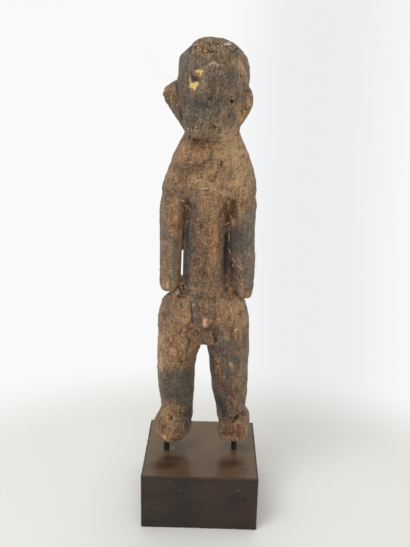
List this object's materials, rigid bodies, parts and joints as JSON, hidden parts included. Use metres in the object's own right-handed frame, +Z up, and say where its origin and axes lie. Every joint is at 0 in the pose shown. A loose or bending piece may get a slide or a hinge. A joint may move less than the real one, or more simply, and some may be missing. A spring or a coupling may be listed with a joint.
{
  "type": "standing carved wooden figure",
  "caption": "Worn, weathered wooden figure with large ears, arms at its sides and one broken foot, held by pins just above a square wooden block.",
  "frame": {"origin": "middle of the block's underside", "axes": "+Z up, the figure faces -Y, +X to the viewer's right when its face is looked at"},
  "size_m": [0.1, 0.1, 0.4062],
  "materials": {
    "worn_wood": "dry, weathered, with dark patina and pale crust",
    "stained_wood": "dark brown stain, satin",
    "black_steel": "black, satin"
  },
  "bodies": {
    "root": {"figure": "worn_wood", "block": "stained_wood", "pin_left": "black_steel", "pin_right": "black_steel"}
  },
  "joints": []
}
